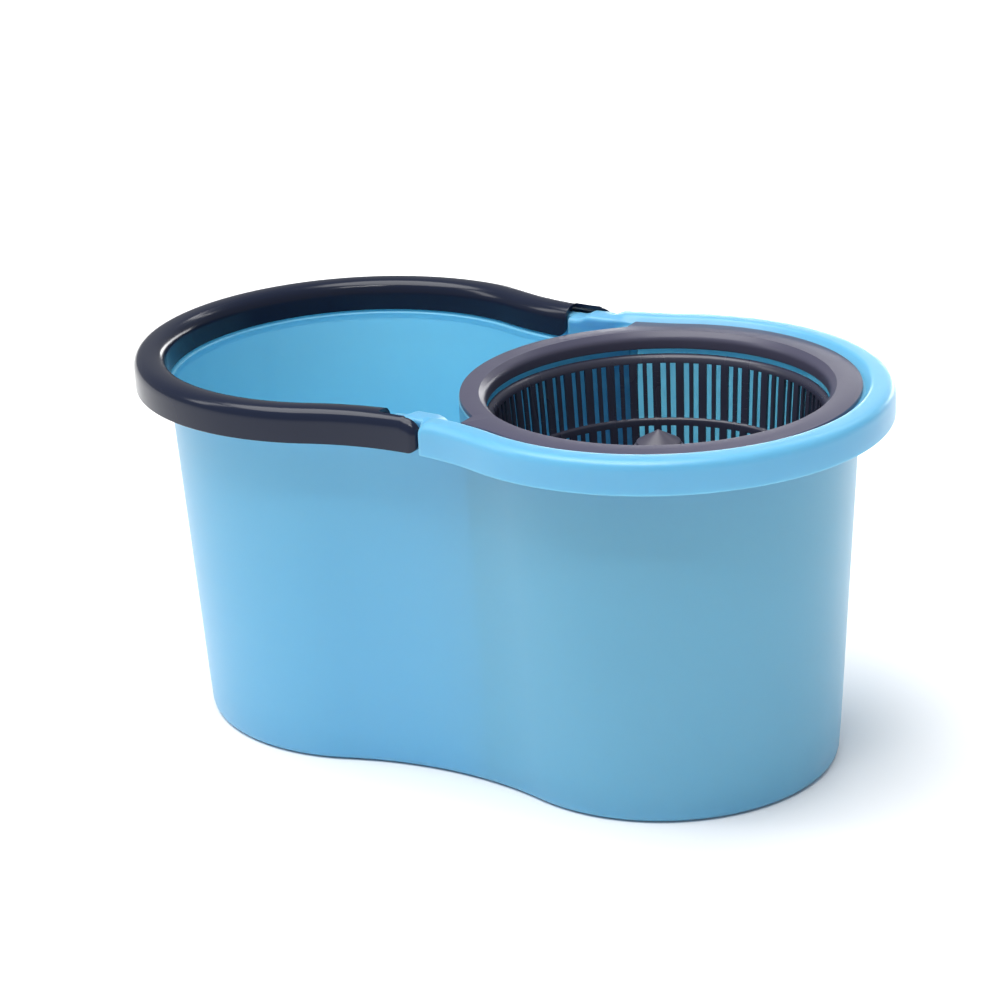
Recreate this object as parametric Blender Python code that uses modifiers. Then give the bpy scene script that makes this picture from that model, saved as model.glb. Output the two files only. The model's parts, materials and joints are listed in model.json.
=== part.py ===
"""Spin mop bucket: a peanut-plan tub with a wash compartment, and a spinning wringer basket on a
spindle under a cover ring. A bail handle caps the wash end of the rim and hinges at the waist.

Metres, +Z up. The origin is on the floor at the centre of the bounding box, +X points from the wash
end to the basket end, and the handle's hinge is parallel to Y.
"""

import math

import bmesh
import bpy

MM = 0.001

# Plan of the rim: two round lobes joined by concave waists.
LEFT_X, RIGHT_X = -101.5 * MM, 103.0 * MM
LEFT_R, RIGHT_R, WAIST_R = 136.5 * MM, 135.0 * MM, 162.0 * MM
# Plan of the base: the same figure, drawn in by the taper of the wall.
BASE_LEFT_X, BASE_RIGHT_X = -96.8 * MM, 102.4 * MM
BASE_LEFT_R, BASE_RIGHT_R, BASE_WAIST_R = 110.0 * MM, 103.5 * MM, 207.0 * MM

# Tub floor, and the ledge that carries the cover ring.
FLOOR_Z = 2.5 * MM
LEDGE_Z = 224.3 * MM

# Hinge of the bail handle, whose cheeks end in an arc about the pivot.
PIVOT_X, PIVOT_Z = 4.5 * MM, 220.5 * MM
HANDLE_END_R, CHEEK_CORNER_R, WEB_CORNER_R = 10.8 * MM, 6.0 * MM, 6.5 * MM
PIN_R, PIN_HOLE_R, PIN_HALF = 2.2 * MM, 2.5 * MM, 5.7 * MM
WAIST_HALF = 117.6 * MM
WINDOW_START_X, WINDOW_HALF = -14.0 * MM, 112.3 * MM

# Where the rim changes section along the waist, from the wash end to the basket end.
LUG_START_X = -9.8 * MM
RIM_START_X = 16.8 * MM
END_WALL = 2.2 * MM

# Basket slots: in each group a wide rib, a slot, a narrow rib and a slot.
SLOT_GROUPS = 42
WIDE_RIB, SLOT, NARROW_RIB = 4.7, 3.2, 2.4
FIRST_RIB_ANGLE = math.radians(110.0)
BASKET_WALL = 1.8 * MM

# Round wall of the basket's well, with a square leg at each end that runs into the tub's wall.
DIVIDER_R, DIVIDER_WALL, DIVIDER_FOOT_Z = 113.5 * MM, 2.2 * MM, 1.2 * MM
DIVIDER_LEG_LOW, DIVIDER_LEG_HIGH = 90.5 * MM, 99.7 * MM

# Cover ring: a plate inside the rim, with two wings over the divider's legs.
PLATE_Z, PLATE_WALL, RING_HOLE_R = 227.0 * MM, 2.2 * MM, 98.0 * MM
RING_INSET, RING_SETBACK = -18.5 * MM, 0.5 * MM
WING_X, WING_Y = 34.3 * MM, 101.5 * MM

SPINDLE = (RIGHT_X, 0.0, 0.0)
SCREW_R, SCREW_HOLE_R = 1.6 * MM, 1.9 * MM
POST_SCREW_CIRCLE, SEAT_SCREW_CIRCLE = 27.0 * MM, 25.0 * MM

SIDES = {"near": -1.0, "far": 1.0}
LOBE_STEPS = 30
WAIST_STEPS = 8

# Cross-sections, as (offset outwards from the rim plan, height) in millimetres. The three rim
# sections run from the outer wall over the rim to the inner wall, and match point for point.
BASKET_END_RIM = (
    (-19.9, 206.5), (-19.9, 219.0), (-18.0, 222.0), (-12.8, 226.2), (-6.4, 226.8), (-3.4, 225.5),
    (-2.3, 222.6), (-2.3, 210.0), (0.0, 210.0), (0.0, 222.8), (-0.9, 226.2), (-3.0, 228.4),
    (-6.6, 229.2), (-12.8, 228.8), (-16.9, 225.2), (-17.2, 224.3), (-22.1, 224.3), (-22.1, 206.5),
)
LUG_RIM = (
    (-19.9, 206.5), (-19.9, 211.0), (-19.9, 213.8), (-19.9, 217.0), (-18.8, 219.6), (-10.8, 219.9),
    (-9.6, 218.6), (-9.6, 210.5), (-7.2, 210.5), (-7.2, 222.4), (-7.7, 224.0), (-9.0, 225.0),
    (-11.0, 225.5), (-16.5, 225.2), (-20.6, 224.0), (-22.1, 221.8), (-22.1, 211.6), (-22.1, 206.5),
)
WASH_END_RIM = (
    (-19.9, 206.5), (-19.9, 207.4), (-13.4, 209.4), (-13.4, 220.6), (-12.6, 222.2), (-10.4, 222.6),
    (-9.4, 221.4), (-9.4, 210.5), (-7.2, 210.5), (-7.2, 222.4), (-7.7, 224.0), (-9.0, 225.0),
    (-10.8, 225.2), (-13.0, 224.6), (-15.6, 222.2), (-15.6, 210.4), (-22.1, 210.4), (-22.1, 206.5),
)
LUG_HUMP = (9, 10, 11, 12, 13, 14)  # the points of LUG_RIM that rise beside the pivot
LUG_HUMP_RISE, LUG_HUMP_X, LUG_HUMP_HALF = 3.3 * MM, 4.0 * MM, 7.0 * MM
UNDERSIDE = range(1, 8)
HANDLE_CHANNEL = (
    (0.0, 210.0), (0.0, 223.6), (-1.2, 227.3), (-4.4, 229.9), (-8.6, 230.5), (-13.0, 229.5),
    (-17.2, 226.8), (-19.4, 222.8), (-20.2, 211.5), (-18.0, 211.5), (-17.2, 222.4),
    (-14.2, 226.3), (-8.6, 228.1), (-4.4, 227.2), (-2.4, 223.6), (-2.4, 210.0),
)
# Radius and height of the basket's inner surface, from its flange down to the floor's centre hole.
BASKET_RINGS = (
    (97.2, 213.4), (94.3, 209.6), (91.8, 175.5), (90.0, 171.0), (87.2, 133.0), (85.4, 124.5),
    (13.0, 124.5),
)
SLOTTED_BELOW = (1, 3)  # the rings that have a row of slots under them

SKY_BLUE = (0.125, 0.445, 0.745)
SLATE = (0.030, 0.036, 0.058)
COVER_GREY = (0.050, 0.052, 0.075)
WHITE_NYLON = (0.78, 0.77, 0.72)
STEEL = (0.60, 0.60, 0.58)


def new_collection(name):
    collection = bpy.data.collections.new(name)
    bpy.context.scene.collection.children.link(collection)
    return collection


def new_material(name, colour, roughness, metallic=0.0):
    material = bpy.data.materials.new(name)
    material.use_nodes = True
    shader = material.node_tree.nodes["Principled BSDF"]
    shader.inputs["Base Color"].default_value = (*colour, 1.0)
    shader.inputs["Roughness"].default_value = roughness
    shader.inputs["Metallic"].default_value = metallic
    return material


def add_object(name, mesh, material=None):
    """A model object where a material is given, a hidden cutter or joined shape where none is."""
    piece = bpy.data.objects.new(name, mesh)
    if material:
        mesh.materials.append(material)
        model.objects.link(piece)
    else:
        piece.hide_render = True
        piece.display_type = "WIRE"
        helpers.objects.link(piece)
    return piece


def finish_mesh(name, bm, smooth_angle=35.0):
    bmesh.ops.recalc_face_normals(bm, faces=bm.faces)
    mesh = bpy.data.meshes.new(name)
    bm.to_mesh(mesh)
    bm.free()
    mesh.shade_smooth()
    mesh.set_sharp_from_angle(angle=math.radians(smooth_angle))
    return mesh


def skinned(name, loops, ring=False, material=None):
    """A closed body skinned over equal loops of points, capped at both ends unless it is a ring."""
    bm = bmesh.new()
    rows = [[bm.verts.new(point) for point in loop] for loop in loops]
    count = len(rows[0])
    spans = list(zip(rows, rows[1:]))
    if ring:
        spans.append((rows[-1], rows[0]))
    else:
        bm.faces.new(rows[0])
        bm.faces.new(rows[-1])
    for low, high in spans:
        for i in range(count):
            j = (i + 1) % count
            bm.faces.new((low[i], low[j], high[j], high[i]))
    return add_object(name, finish_mesh(name, bm), material)


def turned(name, profile, at, steps=28, material=None):
    """A body turned about Z from (radius, height) points in millimetres, which run down its
    outer side. A profile that starts and ends on the axis is solid, and any other is a ring."""
    mesh = bpy.data.meshes.new(name)
    points = [(radius * MM, 0.0, height * MM) for radius, height in profile]
    edges = [(i, i + 1) for i in range(len(points) - 1)]
    if profile[0][0] > 0.0:
        edges.append((len(points) - 1, 0))
    mesh.from_pydata(points, edges, [])
    piece = add_object(name, mesh, material)
    piece.location = at
    screw = piece.modifiers.new("turn", "SCREW")
    screw.steps = screw.render_steps = steps
    screw.use_merge_vertices = True
    screw.merge_threshold = 1e-5
    screw.use_smooth_shade = True
    return piece


def rod(name, radius, start, end, steps=24):
    """A hidden cylinder between two points on a line parallel to Y or Z."""
    bm = bmesh.new()
    length = math.dist(start, end)
    bmesh.ops.create_cone(
        bm, cap_ends=True, segments=steps, radius1=radius, radius2=radius, depth=length
    )
    piece = add_object(name, finish_mesh(name, bm))
    if start[1] != end[1]:
        piece.rotation_euler.x = math.pi / 2
    piece.location = [(a + b) / 2 for a, b in zip(start, end)]
    return piece


def combine(target, operation, *pieces):
    for piece in pieces:
        step = target.modifiers.new(piece.name, "BOOLEAN")
        step.operation = operation
        step.solver = "EXACT"
        step.object = piece


def plan(left_x, left_r, right_x, right_r, waist_r):
    """The peanut figure as a function of a station (arc, fraction) and an outward offset."""
    span = right_x - left_x
    to_left, to_right = left_r + waist_r, right_r + waist_r
    along = (span**2 + to_left**2 - to_right**2) / (2 * span)
    waist_x, waist_y = left_x + along, math.sqrt(to_left**2 - along**2)
    right_turn = math.atan2(waist_y, waist_x - right_x)
    left_turn = math.atan2(waist_y, waist_x - left_x)
    waist_from = math.atan2(-waist_y, right_x - waist_x) % math.tau
    waist_to = math.atan2(-waist_y, left_x - waist_x) % math.tau

    def at(station, offset=0.0):
        arc, fraction = station
        if arc == "right":
            angle = right_turn * (2 * fraction - 1)
            centre_x, centre_y, radius = right_x, 0.0, right_r + offset
        elif arc == "left":
            angle = left_turn + (math.tau - 2 * left_turn) * fraction
            centre_x, centre_y, radius = left_x, 0.0, left_r + offset
        else:
            far = arc == "far_waist"
            step = fraction if far else 1.0 - fraction
            angle = waist_from + (waist_to - waist_from) * step
            angle = angle if far else -angle
            centre_x, centre_y, radius = waist_x, waist_y if far else -waist_y, waist_r - offset
        return centre_x + radius * math.cos(angle), centre_y + radius * math.sin(angle)

    def waist_fraction(x):
        """How far along the far waist, from the basket end, the outline passes this x."""
        angle = math.tau - math.acos((x - waist_x) / waist_r)
        return (angle - waist_from) / (waist_to - waist_from)

    return at, waist_fraction


def waist_fractions(marks):
    """Even fractions along a waist arc, with the marked ones in place of any close to them."""
    even = [i / WAIST_STEPS for i in range(1, WAIST_STEPS)]
    clear = [f for f in even if all(abs(f - mark) > 0.03 for mark in marks)]
    return sorted(clear + list(marks))


def rim_loops(stations, rim_at, section_at):
    """One closed loop round the tub for each point of the rim's cross-section."""
    loops = []
    for i in range(len(BASKET_END_RIM)):
        loop = []
        for station in stations:
            offset, height = section_at(station, i)
            loop.append((*rim_at(station, offset), height))
        loops.append(loop)
    return loops


def build_tub(material):
    rim_at, fraction_at = plan(LEFT_X, LEFT_R, RIGHT_X, RIGHT_R, WAIST_R)
    base_at, _ = plan(BASE_LEFT_X, BASE_LEFT_R, BASE_RIGHT_X, BASE_RIGHT_R, BASE_WAIST_R)
    jog = 0.6 * MM
    marks = [
        fraction_at(x)
        for x in (
            RIM_START_X + END_WALL + jog, RIM_START_X + END_WALL, RIM_START_X + jog, RIM_START_X,
            LUG_HUMP_X, LUG_HUMP_X - LUG_HUMP_HALF, LUG_START_X + jog, LUG_START_X,
        )
    ]
    under_jog, top_jog = (marks[0] + marks[1]) / 2, (marks[2] + marks[3]) / 2
    lug_jog = (marks[6] + marks[7]) / 2
    fractions = waist_fractions(marks)
    lobe = [i / LOBE_STEPS for i in range(LOBE_STEPS + 1)]
    stations = [("right", f) for f in lobe]
    stations += [("far_waist", f) for f in fractions]
    stations += [("left", f) for f in lobe]
    stations += [("near_waist", 1.0 - f) for f in reversed(fractions)]

    def section_at(station, i):
        arc, fraction = station
        rise = 0.0
        if arc == "left":
            section = WASH_END_RIM
        elif arc == "right":
            section = BASKET_END_RIM
        else:
            fraction = fraction if arc == "far_waist" else 1.0 - fraction
            rim_until = under_jog if i in UNDERSIDE else top_jog
            if fraction < rim_until:
                section = BASKET_END_RIM
            elif fraction < lug_jog:
                section = LUG_RIM
                reach = abs(rim_at(station)[0] - LUG_HUMP_X) / LUG_HUMP_HALF
                if i in LUG_HUMP and reach < 1.0:
                    rise = LUG_HUMP_RISE * math.cos(math.pi / 2 * reach) ** 2
            else:
                section = WASH_END_RIM
        offset, height = section[i]
        return offset * MM, height * MM + rise

    def base_loop(offset, height):
        return [(*base_at(station, offset * MM), height * MM) for station in stations]

    loops = [base_loop(-3.5, 0.0), base_loop(-1.0, 0.8), base_loop(0.0, 3.5)]
    loops += rim_loops(stations, rim_at, section_at)
    loops += [base_loop(-2.4, 6.0), base_loop(-5.5, FLOOR_Z / MM)]
    tub = skinned("tub", loops, material=material)

    combine(tub, "UNION", build_divider())
    for side in SIDES:
        combine(tub, "UNION", pivot_rod("tub_boss", side, 6.5 * MM, -21.0, -7.0))
        combine(tub, "DIFFERENCE", pivot_rod("tub_hole", side, PIN_HOLE_R, -14.6, -4.0))
    for i, place in enumerate(circle_places(POST_SCREW_CIRCLE)):
        combine(tub, "UNION", upright(f"post_boss_{i + 1}", 5.5 * MM, place, 1.5, 14.0))
        combine(tub, "DIFFERENCE", upright(f"post_boss_hole_{i + 1}", SCREW_HOLE_R, place, 5.0, 16.0))
    return tub


def build_divider():
    inner_r, leg_x = DIVIDER_R - DIVIDER_WALL, WING_X + DIVIDER_WALL
    steps = 24

    def wall(radius, end_x):
        """The arc about the spindle between the two points of this radius at end_x."""
        turn = math.acos((RIGHT_X - end_x) / radius)
        bearings = [turn * (2 * i / steps - 1) for i in range(steps + 1)]
        return [(RIGHT_X - radius * math.cos(b), radius * math.sin(b)) for b in bearings]

    def loop(leg_end, height):
        path = [(WING_X, -leg_end), *wall(DIVIDER_R, WING_X), (WING_X, leg_end), (leg_x, leg_end)]
        path += [*reversed(wall(inner_r, leg_x)), (leg_x, -leg_end)]
        return [(x, y, height) for x, y in path]

    return skinned("divider", [loop(DIVIDER_LEG_LOW, DIVIDER_FOOT_Z), loop(DIVIDER_LEG_HIGH, LEDGE_Z)])


def pivot_rod(name, side, radius, inner, outer):
    """A hidden cylinder on the hinge's axis at one side, between two offsets in millimetres."""
    sign = SIDES[side]
    ends = [(PIVOT_X, sign * (WAIST_HALF + offset * MM), PIVOT_Z) for offset in (inner, outer)]
    return rod(f"{name}_{side}", radius, *ends)


def upright(name, radius, place, low, high):
    """A hidden vertical cylinder between two heights in millimetres."""
    return rod(name, radius, (*place, low * MM), (*place, high * MM), steps=14)


def circle_places(radius, count=3):
    """Evenly spaced places round the spindle."""
    turns = [math.tau * i / count for i in range(count)]
    return [(RIGHT_X + radius * math.cos(t), radius * math.sin(t)) for t in turns]


def build_cover_ring(material):
    rim_at, _ = plan(LEFT_X, LEFT_R, RIGHT_X, RIGHT_R, WAIST_R)
    wing = math.atan2(WING_Y, WING_X - RIGHT_X)
    arc_r = DIVIDER_R - RING_SETBACK
    notch = math.pi - math.acos((RIGHT_X - WING_X) / arc_r)
    lobe_turn = math.radians(96.0)

    # The plan of the rim as seen from the spindle: bearings and distances.
    edge = [rim_at(("right", f / LOBE_STEPS), RING_INSET) for f in range(LOBE_STEPS + 1)]
    edge += [rim_at(("far_waist", f), RING_INSET) for f in (0.1, 0.2, 0.3, 0.4)]
    polar = [(math.atan2(y, x - RIGHT_X), math.hypot(x - RIGHT_X, y)) for x, y in edge]

    def reach(bearing):
        bearing = abs(bearing)
        if bearing > wing + 1e-6:
            return arc_r
        for (t0, r0), (t1, r1) in zip(polar, polar[1:]):
            if t0 <= bearing <= t1:
                return r0 + (r1 - r0) * (bearing - t0) / (t1 - t0)
        return math.hypot(WING_X - RIGHT_X, WING_Y)

    half = [lobe_turn * i / 14 for i in range(15)]
    half += [lobe_turn + (wing - lobe_turn) * i / 4 for i in range(1, 5)]
    half += [notch + (math.pi - notch) * i / 7 for i in range(7)]
    bearings = half + [math.pi] + [-b for b in reversed(half[1:])]

    def loop(depth, inward=0.0):
        """The plate's outline at a depth below its top, drawn in by this much."""
        radii = [reach(bearing) - inward for bearing in bearings]
        return around(radii, depth)

    def lip(depth, widening):
        """A circle round the basket's mouth, this much wider than the hole."""
        return around([RING_HOLE_R + widening] * len(bearings), depth)

    def around(radii, depth):
        return [
            (RIGHT_X + r * math.cos(b), r * math.sin(b), PLATE_Z - depth)
            for r, b in zip(radii, bearings)
        ]

    edge_r, lip_depth, lip_wall = 0.5 * MM, 8.5 * MM, 2.0 * MM
    loops = [loop(PLATE_WALL), loop(edge_r), loop(0.0, inward=edge_r), lip(0.0, 4.5 * MM)]
    loops += [lip(0.9 * MM, 1.8 * MM), lip(3.2 * MM, 0.2 * MM), lip(lip_depth, 0.0)]
    loops += [lip(lip_depth, lip_wall), lip(PLATE_WALL, 3.2 * MM)]
    return skinned("cover_ring", loops, ring=True, material=material)


def build_basket(material):
    """The slotted wall and floor as one open surface, thickened outwards by Solidify."""
    widths = (WIDE_RIB, SLOT, NARROW_RIB, SLOT)
    unit = math.tau / SLOT_GROUPS / sum(widths)
    start = FIRST_RIB_ANGLE - WIDE_RIB * unit / 2
    bearings, is_slot = [], []
    for group in range(SLOT_GROUPS):
        bearing = start + group * math.tau / SLOT_GROUPS
        for i, width in enumerate(widths):
            bearings.append(bearing)
            is_slot.append(i % 2 == 1)
            bearing += width * unit
    bm = bmesh.new()
    rows = [
        [bm.verts.new((r * MM * math.cos(b), r * MM * math.sin(b), z * MM)) for b in bearings]
        for r, z in BASKET_RINGS
    ]
    count = len(bearings)
    for i, (high, low) in enumerate(zip(rows, rows[1:])):
        for j in range(count):
            if i in SLOTTED_BELOW and is_slot[j]:
                continue
            k = (j + 1) % count
            bm.faces.new((high[j], high[k], low[k], low[j]))
    basket = add_object("basket", finish_mesh("basket", bm), material)
    basket.location.x = RIGHT_X
    shell = basket.modifiers.new("wall", "SOLIDIFY")
    shell.thickness = BASKET_WALL
    shell.offset = -1.0
    shell.use_even_offset = True
    for i, place in enumerate(circle_places(SEAT_SCREW_CIRCLE)):
        combine(basket, "DIFFERENCE", upright(f"basket_hole_{i + 1}", SCREW_HOLE_R, place, 118.0, 128.0))
    return basket


def build_handle(material):
    """An inverted channel swept over the wash end's rim. At each end only its outer cheek goes on
    to the hinge, where it is rounded about the pivot."""
    rim_at, fraction_at = plan(LEFT_X, LEFT_R, RIGHT_X, RIGHT_R, WAIST_R)
    trimmed_off = 4.0 * MM
    first = fraction_at(PIVOT_X + HANDLE_END_R + trimmed_off)
    waist = [first + (1.0 - first) * i / 7 for i in range(7)]
    stations = [("far_waist", f) for f in waist]
    stations += [("left", i / LOBE_STEPS) for i in range(LOBE_STEPS + 1)]
    stations += [("near_waist", 1.0 - f) for f in reversed(waist)]
    sections = [
        [(*rim_at(station, offset * MM), height * MM) for offset, height in HANDLE_CHANNEL]
        for station in stations
    ]
    handle = skinned("bail_handle", sections, material=material)
    combine(handle, "DIFFERENCE", build_end_trim(), build_web_trim())
    for side in SIDES:
        combine(handle, "UNION", pivot_rod("handle_boss", side, 5.2 * MM, -6.3, -1.6))
        combine(handle, "DIFFERENCE", pivot_rod("handle_hole", side, PIN_HOLE_R, -9.0, -2.4))
    return handle


def extruded(name, outline, half_width):
    """A hidden prism of an (x, z) outline in millimetres, across the object."""
    sides = [[(x * MM, y, z * MM) for x, z in outline] for y in (-half_width, half_width)]
    return skinned(name, sides)


def arc_points(centre, radius, first, last, steps):
    """Points in millimetres along an arc, from one angle to another in degrees."""
    turns = [math.radians(first + (last - first) * i / steps) for i in range(steps + 1)]
    return [(centre[0] + radius * math.cos(t), centre[1] + radius * math.sin(t)) for t in turns]


def build_end_trim():
    """Everything past the rounded end of the cheek."""
    pivot = (PIVOT_X / MM, PIVOT_Z / MM)
    reach, corner_r = HANDLE_END_R / MM, CHEEK_CORNER_R / MM
    low, below, above, beyond = HANDLE_CHANNEL[0][1], 200.0, 240.0, 30.0
    upper = arc_points(pivot, reach, 84.0, 0.0, 8)
    lower = arc_points((pivot[0] + reach - corner_r, low + corner_r), corner_r, 0.0, -90.0, 5)
    outline = [(upper[0][0], above), *upper, *lower, (-1.0, 206.0), (-1.0, below)]
    outline += [(beyond, below), (beyond, above)]
    return extruded("handle_end_trim", outline, 150.0 * MM)


def build_web_trim():
    """The inner wall and the web between the two cheeks, with the inner wall's lower corner round."""
    start, corner_r = WINDOW_START_X / MM, WEB_CORNER_R / MM
    below, above, beyond = 200.0, 240.0, 30.0
    corner = arc_points((start - corner_r, 218.2), corner_r, -90.0, 0.0, 5)
    outline = [(start - corner_r, below), *corner, (start, 232.5), (start + 2.0, above)]
    outline += [(beyond, above), (beyond, below)]
    return extruded("handle_web_trim", outline, WINDOW_HALF)


def build_pivot_pins(material):
    radius, half, chamfer = PIN_R / MM, PIN_HALF / MM, 0.4
    inward = 8.5 * MM
    for side, sign in SIDES.items():
        pin = turned(f"pivot_pin_{side}", (
            (0.0, half), (radius - chamfer, half), (radius, half - chamfer), (radius, -half), (0.0, -half),
        ), (PIVOT_X, sign * (WAIST_HALF - inward), PIVOT_Z), steps=20, material=material)
        pin.rotation_euler.x = math.pi / 2


def build_post(material):
    post = turned("spindle_post", (
        (11.5, 106.0), (13.0, 60.0), (16.0, 22.0), (20.0, 17.3), (33.0, 17.3), (33.0, 14.3),
        (13.0, 14.3), (10.0, 58.0), (4.3, 62.0), (4.3, 106.0),
    ), SPINDLE, material=material)
    for i, place in enumerate(circle_places(POST_SCREW_CIRCLE)):
        combine(post, "DIFFERENCE", upright(f"post_hole_{i + 1}", SCREW_HOLE_R, place, 12.0, 20.0))


def build_spindle(steel, nylon):
    """The fixed axle with what locates the basket on it: washers, bushes and the top screw."""
    turned("axle", (
        (1.9, 158.0), (3.4, 158.0), (4.0, 157.4), (4.0, 58.0), (0.0, 58.0), (0.0, 140.0), (1.9, 140.0),
    ), SPINDLE, steps=20, material=steel)
    turned("thrust_washer", (
        (9.5, 107.4), (9.5, 106.3), (4.4, 106.3), (4.4, 107.4),
    ), SPINDLE, steps=20, material=steel)
    turned("lower_bush", (
        (7.6, 120.0), (7.6, 109.6), (9.5, 109.6), (9.5, 107.7), (4.3, 107.7), (4.3, 120.0),
    ), SPINDLE, steps=20, material=nylon)
    turned("upper_bush", (
        (9.5, 157.1), (9.5, 155.3), (7.6, 155.3), (7.6, 145.0), (4.3, 145.0), (4.3, 157.1),
    ), SPINDLE, steps=20, material=nylon)
    turned("retaining_washer", (
        (8.5, 159.6), (8.5, 158.3), (1.9, 158.3), (1.9, 159.6),
    ), SPINDLE, steps=20, material=steel)
    build_screw("retaining_screw", SPINDLE[:2], 159.9, 144.0, -1.0, steel)


def build_screw(name, place, seat, tip, side, material):
    """A pan-head screw whose head sits at one height and whose tip reaches another, in
    millimetres. Its head points down where side is 1 and up where it is -1."""
    head = (4.2, 2.4) if name == "retaining_screw" else (3.2, 2.2)
    length = abs(tip - seat)
    shank = SCREW_R / MM
    piece = turned(name, (
        (0.0, length), (shank - 0.8, length), (shank, length - 1.5), (shank, 0.0), (head[0], 0.0),
        (head[0], -0.5 * head[1]), (0.7 * head[0], -head[1]), (0.0, -head[1]),
    ), (*place, seat * MM), steps=14, material=material)
    if side < 0.0:
        piece.rotation_euler.x = math.pi


def build_hub(plastic, steel):
    """The parts under and inside the basket that turn with it."""
    carrier = turned("basket_carrier", (
        (11.0, 155.0), (11.0, 122.4), (34.0, 122.4), (34.0, 119.0), (13.0, 116.0), (11.0, 109.9),
        (7.9, 109.9), (7.9, 155.0),
    ), SPINDLE, material=plastic)
    seat = turned("mop_seat", (
        (0.0, 200.0), (12.6, 193.0), (14.0, 191.0), (19.0, 134.0), (23.0, 130.4), (31.0, 130.4),
        (31.0, 124.8), (16.4, 124.8), (12.0, 184.0), (0.0, 190.0),
    ), SPINDLE, material=plastic)
    for i, place in enumerate(circle_places(SEAT_SCREW_CIRCLE)):
        combine(carrier, "DIFFERENCE", upright(f"carrier_hole_{i + 1}", SCREW_HOLE_R, place, 112.0, 125.0))
        combine(seat, "DIFFERENCE", upright(f"seat_hole_{i + 1}", SCREW_HOLE_R, place, 120.0, 129.2))
        build_screw(f"seat_screw_{i + 1}", place, 117.0, 128.6, 1.0, steel)


def clear_scene():
    for piece in list(bpy.data.objects):
        bpy.data.objects.remove(piece)


clear_scene()
model = new_collection("spin_mop_bucket")
helpers = new_collection("cutters_and_joined_shapes")
blue = new_material("sky_blue_plastic", SKY_BLUE, 0.32)
slate = new_material("slate_plastic", SLATE, 0.35)
cover_grey = new_material("cover_grey_plastic", COVER_GREY, 0.5)
nylon = new_material("white_nylon", WHITE_NYLON, 0.45)
steel = new_material("zinc_steel", STEEL, 0.3, metallic=1.0)

build_tub(blue)
build_cover_ring(cover_grey)
build_handle(slate)
build_pivot_pins(nylon)
build_post(blue)
for i, place in enumerate(circle_places(POST_SCREW_CIRCLE)):
    build_screw(f"post_screw_{i + 1}", place, 17.6, 6.0, -1.0, steel)
build_spindle(steel, nylon)
build_basket(slate)
build_hub(slate, steel)
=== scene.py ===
"""Looks of the spin mop bucket: fine meshes and moulded-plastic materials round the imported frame."""
import json
import math

import bmesh
import bpy
import numpy as np
from mathutils import Matrix, Vector


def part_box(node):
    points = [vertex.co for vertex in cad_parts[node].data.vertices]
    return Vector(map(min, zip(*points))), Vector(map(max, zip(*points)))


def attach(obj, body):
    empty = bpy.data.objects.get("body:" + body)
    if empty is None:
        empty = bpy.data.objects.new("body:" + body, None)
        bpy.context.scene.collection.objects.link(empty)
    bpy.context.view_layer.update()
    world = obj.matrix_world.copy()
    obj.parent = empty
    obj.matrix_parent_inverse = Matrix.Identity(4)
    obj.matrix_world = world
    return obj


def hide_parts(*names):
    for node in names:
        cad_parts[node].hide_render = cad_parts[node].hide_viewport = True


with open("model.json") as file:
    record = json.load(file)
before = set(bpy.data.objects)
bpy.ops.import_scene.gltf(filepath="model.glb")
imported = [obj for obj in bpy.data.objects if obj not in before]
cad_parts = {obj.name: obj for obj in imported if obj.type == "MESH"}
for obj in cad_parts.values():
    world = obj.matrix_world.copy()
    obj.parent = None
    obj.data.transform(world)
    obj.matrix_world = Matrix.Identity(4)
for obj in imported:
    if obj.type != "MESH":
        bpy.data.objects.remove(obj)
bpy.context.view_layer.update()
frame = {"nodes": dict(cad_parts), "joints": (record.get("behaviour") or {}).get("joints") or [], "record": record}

MM = 0.001
JOINTS = {joint["name"]: joint for joint in frame["joints"]}
PIVOT = Vector(JOINTS["handle_hinge"]["pos_m"])
SPINDLE = Vector(JOINTS["basket_spin"]["pos_m"])
SPINDLE.z = 0.0
TUB_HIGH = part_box("tub")[1]
HANDLE_LOW, HANDLE_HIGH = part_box("bail_handle")
RING_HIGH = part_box("cover_ring")[1]
SEAT_LOW, SEAT_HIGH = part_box("mop_seat")

# Plans of the rim and the base: two round lobes joined by concave waists.
LEFT_R = HANDLE_HIGH.y
LEFT_X = HANDLE_LOW.x + LEFT_R
RIGHT_X = SPINDLE.x
RIGHT_R = TUB_HIGH.x - RIGHT_X
WAIST_R = 162.0 * MM
BASE_LEFT_X, BASE_LEFT_R = LEFT_X + 4.7 * MM, 110.0 * MM
BASE_RIGHT_X, BASE_RIGHT_R = RIGHT_X - 0.6 * MM, 103.5 * MM
BASE_WAIST_R = 207.0 * MM
WINDOW_HALF = 112.3 * MM

# Heights and X positions along the waist, in millimetres.
FLOOR = 2.5
RIM_START, UNDERSIDE_START = 15.2, 17.6
LUG_START = PIVOT.x / MM - 14.3
HANDLE_END_R, HANDLE_END_WALL, HANDLE_WALL = 9.2, 2.3, 2.4
INNER_WALL_LOW = 211.5
WINDOW_START, WINDOW_CORNER_R = -14.0, 6.5
BELOW, ABOVE = 190.0, 250.0  # heights clear of the handle, for its cutters
DIVIDER_R, DIVIDER_WALL = 113.5 * MM, 2.2 * MM
WING_X, WING_Y = 34.3 * MM, 101.5 * MM
RING_INSET, RING_SETBACK = -18.5 * MM, 0.5 * MM
LEDGE = 224.3  # millimetres

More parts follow.
